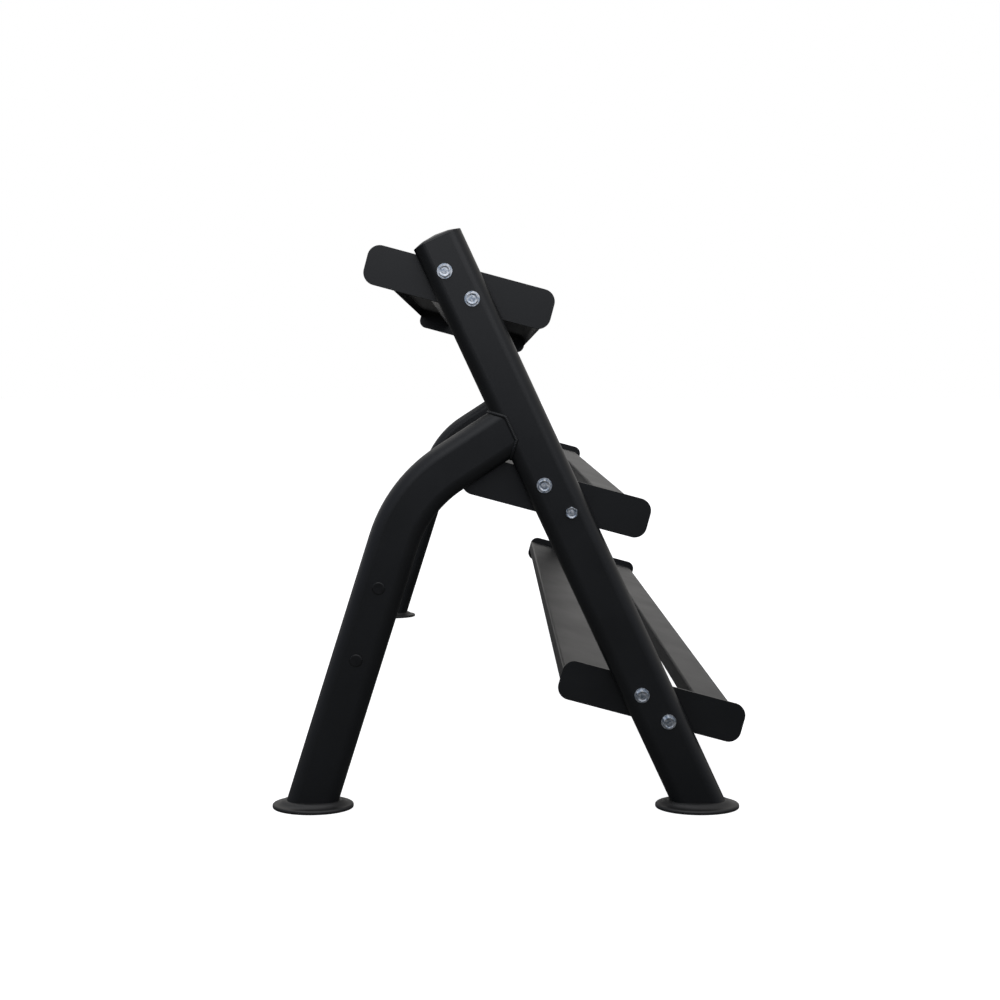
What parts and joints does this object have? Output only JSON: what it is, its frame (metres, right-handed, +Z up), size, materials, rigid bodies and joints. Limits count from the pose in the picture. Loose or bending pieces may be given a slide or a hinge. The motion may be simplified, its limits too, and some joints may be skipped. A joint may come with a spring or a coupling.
{
  "type": "dumbbell rack",
  "caption": "Dumbbell rack with tilted twin-rail shelves bolted between two side frames of flat-oval tube, each a leaning upright with a bent rear leg, on rubber feet.",
  "frame": {"origin": "on the floor under the middle of the rack's outline", "axes": "+X along the rack, front of the rack faces -Y, +Z up"},
  "size_m": [1.618, 0.7598, 0.9181],
  "materials": {
    "frame_paint": "satin near-black powder coat on flat-oval steel tube and plate",
    "shelf_paint": "satin near-black powder coat on folded sheet steel",
    "zinc_plate": "bright zinc-plated steel fasteners",
    "cap_plastic": "moulded black plastic, glossy",
    "plug_plastic": "moulded black plastic, semi-gloss",
    "foot_rubber": "moulded black rubber with a soft sheen"
  },
  "bodies": {
    "root": {"left_upright": "frame_paint", "left_rear_leg": "frame_paint", "left_leg_weld": "frame_paint", "left_top_cap": "cap_plastic", "left_front_foot": "foot_rubber", "left_rear_foot": "foot_rubber", "left_leg_plugs": "plug_plastic", "right_upright": "frame_paint", "right_rear_leg": "frame_paint", "right_leg_weld": "frame_paint", "right_top_cap": "cap_plastic", "right_front_foot": "foot_rubber", "right_rear_foot": "foot_rubber", "right_leg_plugs": "plug_plastic", "bottom_left_end_plate": "frame_paint", "bottom_right_end_plate": "frame_paint", "bottom_front_rail": "shelf_paint", "bottom_rear_rail": "shelf_paint", "bottom_shelf_welds": "shelf_paint", "bottom_bolts": "zinc_plate", "bottom_washers": "zinc_plate", "bottom_nuts": "zinc_plate", "middle_left_end_plate": "frame_paint", "middle_right_end_plate": "frame_paint", "middle_front_rail": "shelf_paint", "middle_rear_rail": "shelf_paint", "middle_shelf_welds": "shelf_paint", "middle_bolts": "zinc_plate", "middle_washers": "zinc_plate", "middle_nuts": "zinc_plate", "top_left_end_plate": "frame_paint", "top_right_end_plate": "frame_paint", "top_front_rail": "shelf_paint", "top_rear_rail": "shelf_paint", "top_shelf_welds": "shelf_paint", "top_bolts": "zinc_plate", "top_washers": "zinc_plate", "top_nuts": "zinc_plate"}
  },
  "joints": []
}
